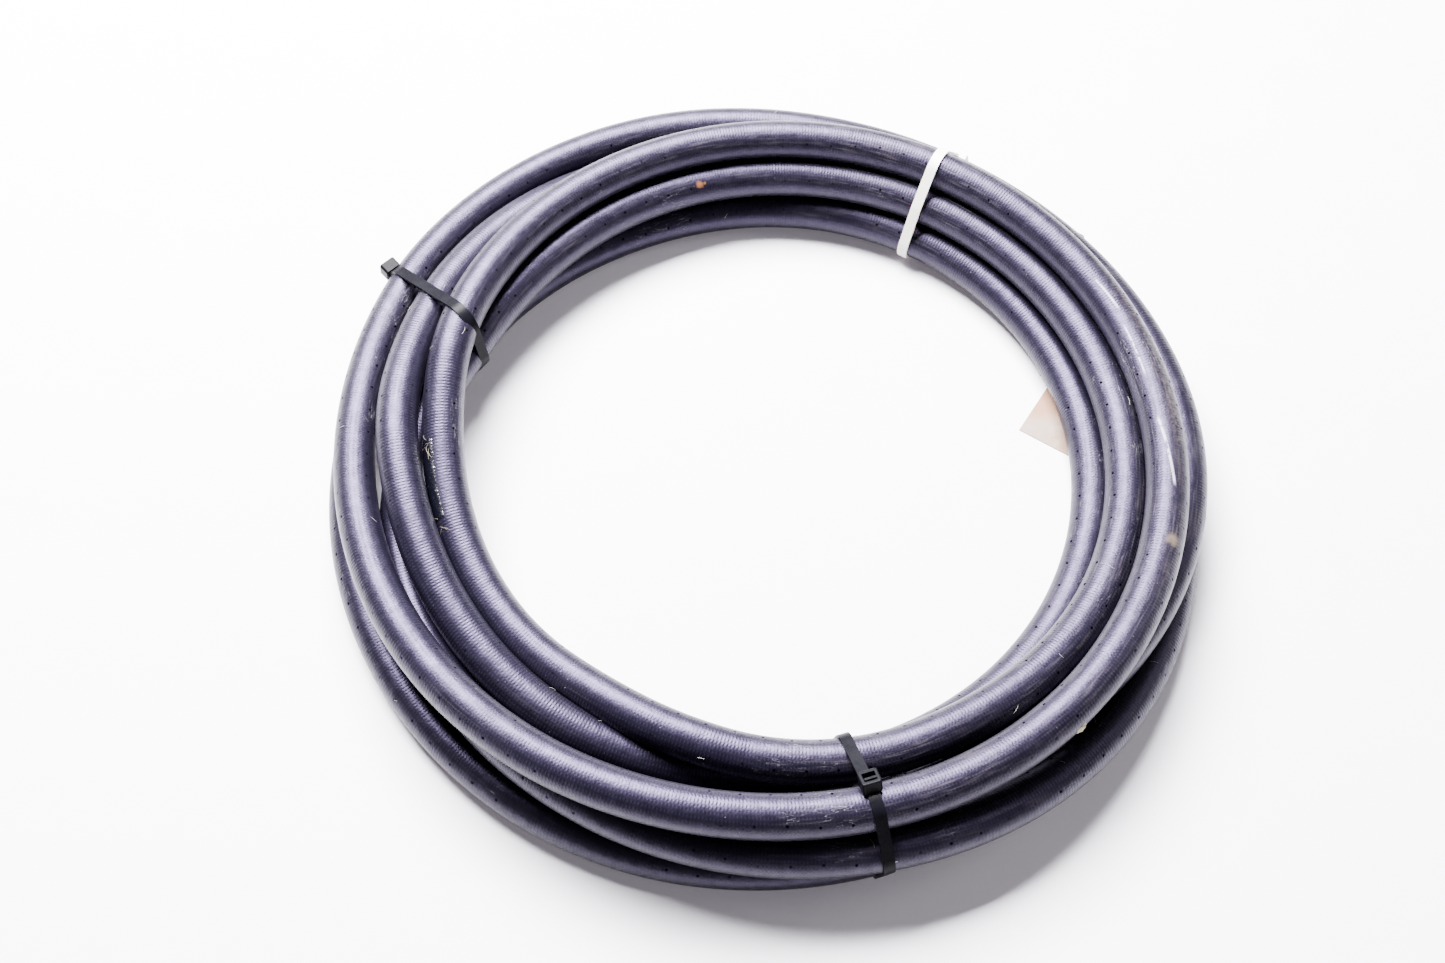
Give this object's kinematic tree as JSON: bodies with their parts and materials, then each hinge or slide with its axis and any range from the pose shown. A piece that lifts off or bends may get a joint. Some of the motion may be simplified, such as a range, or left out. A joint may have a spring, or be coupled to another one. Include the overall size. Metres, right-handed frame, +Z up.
{
  "type": "coiled air hose",
  "caption": "Six-metre length of black rubber air hose in a loose coil of six turns, held by two black cable ties and a white one, with a card tag.",
  "frame": {"origin": "middle of the bounding box's base, where the coil lies on a surface", "axes": "+Z up through the coil's eye; +Y is 12 o'clock and +X is 3 o'clock seen from above"},
  "size_m": [0.3878, 0.3867, 0.0578],
  "materials": {
    "hose_rubber": "satin, with a faint imprint of the braid and pricked with pinholes",
    "inner_tube_rubber": "smooth",
    "braid_textile": "cut yarn ends",
    "black_nylon": "smooth moulded",
    "white_nylon": "smooth moulded",
    "tag_card": "plain manila card",
    "eyelet_brass": "dull pressed brass",
    "string_cotton": "twisted cotton"
  },
  "bodies": {
    "root": {"back_tie_head": "white_nylon", "back_tie_strap": "white_nylon", "front_tie_head": "black_nylon", "front_tie_strap": "black_nylon", "hose_coil": "hose_rubber", "inlet_braid": "braid_textile", "inlet_cover": "hose_rubber", "inlet_liner": "inner_tube_rubber", "left_tie_head": "black_nylon", "left_tie_strap": "black_nylon", "outlet_braid": "braid_textile", "outlet_cover": "hose_rubber", "outlet_liner": "inner_tube_rubber", "tag_string": "string_cotton"},
    "front_tie_pawl_body": {"front_tie_pawl": "black_nylon"},
    "left_tie_pawl_body": {"left_tie_pawl": "black_nylon"},
    "back_tie_pawl_body": {"back_tie_pawl": "white_nylon"},
    "tag": {"tag_card": "tag_card", "tag_eyelet": "eyelet_brass"}
  },
  "joints": [
    {"name": "front_tie_pawl_flex", "type": "hinge", "parent": "root", "child": "front_tie_pawl_body", "pos_m": [0.03596, -0.16346, 0.05144], "axis": [-0.9563, -0.2924, 0], "range_deg": [0, 12], "stiffness_Nm_per_rad": 0.01},
    {"name": "left_tie_pawl_flex", "type": "hinge", "parent": "root", "child": "left_tie_pawl_body", "pos_m": [-0.17245, 0.0925, 0.03205], "axis": [0.7169, 0.6972, 0], "range_deg": [0, 12], "stiffness_Nm_per_rad": 0.01},
    {"name": "back_tie_pawl_flex", "type": "hinge", "parent": "root", "child": "back_tie_pawl_body", "pos_m": [0.09664, 0.16929, 0.01806], "axis": [0.8616, -0.5075, 0], "range_deg": [0, 12], "stiffness_Nm_per_rad": 0.01},
    {"name": "tag_swivel", "type": "hinge", "parent": "root", "child": "tag", "pos_m": [0.16993, 0.06902, 0], "axis": [0, 0, 1], "range_deg": [-10, 12]}
  ]
}
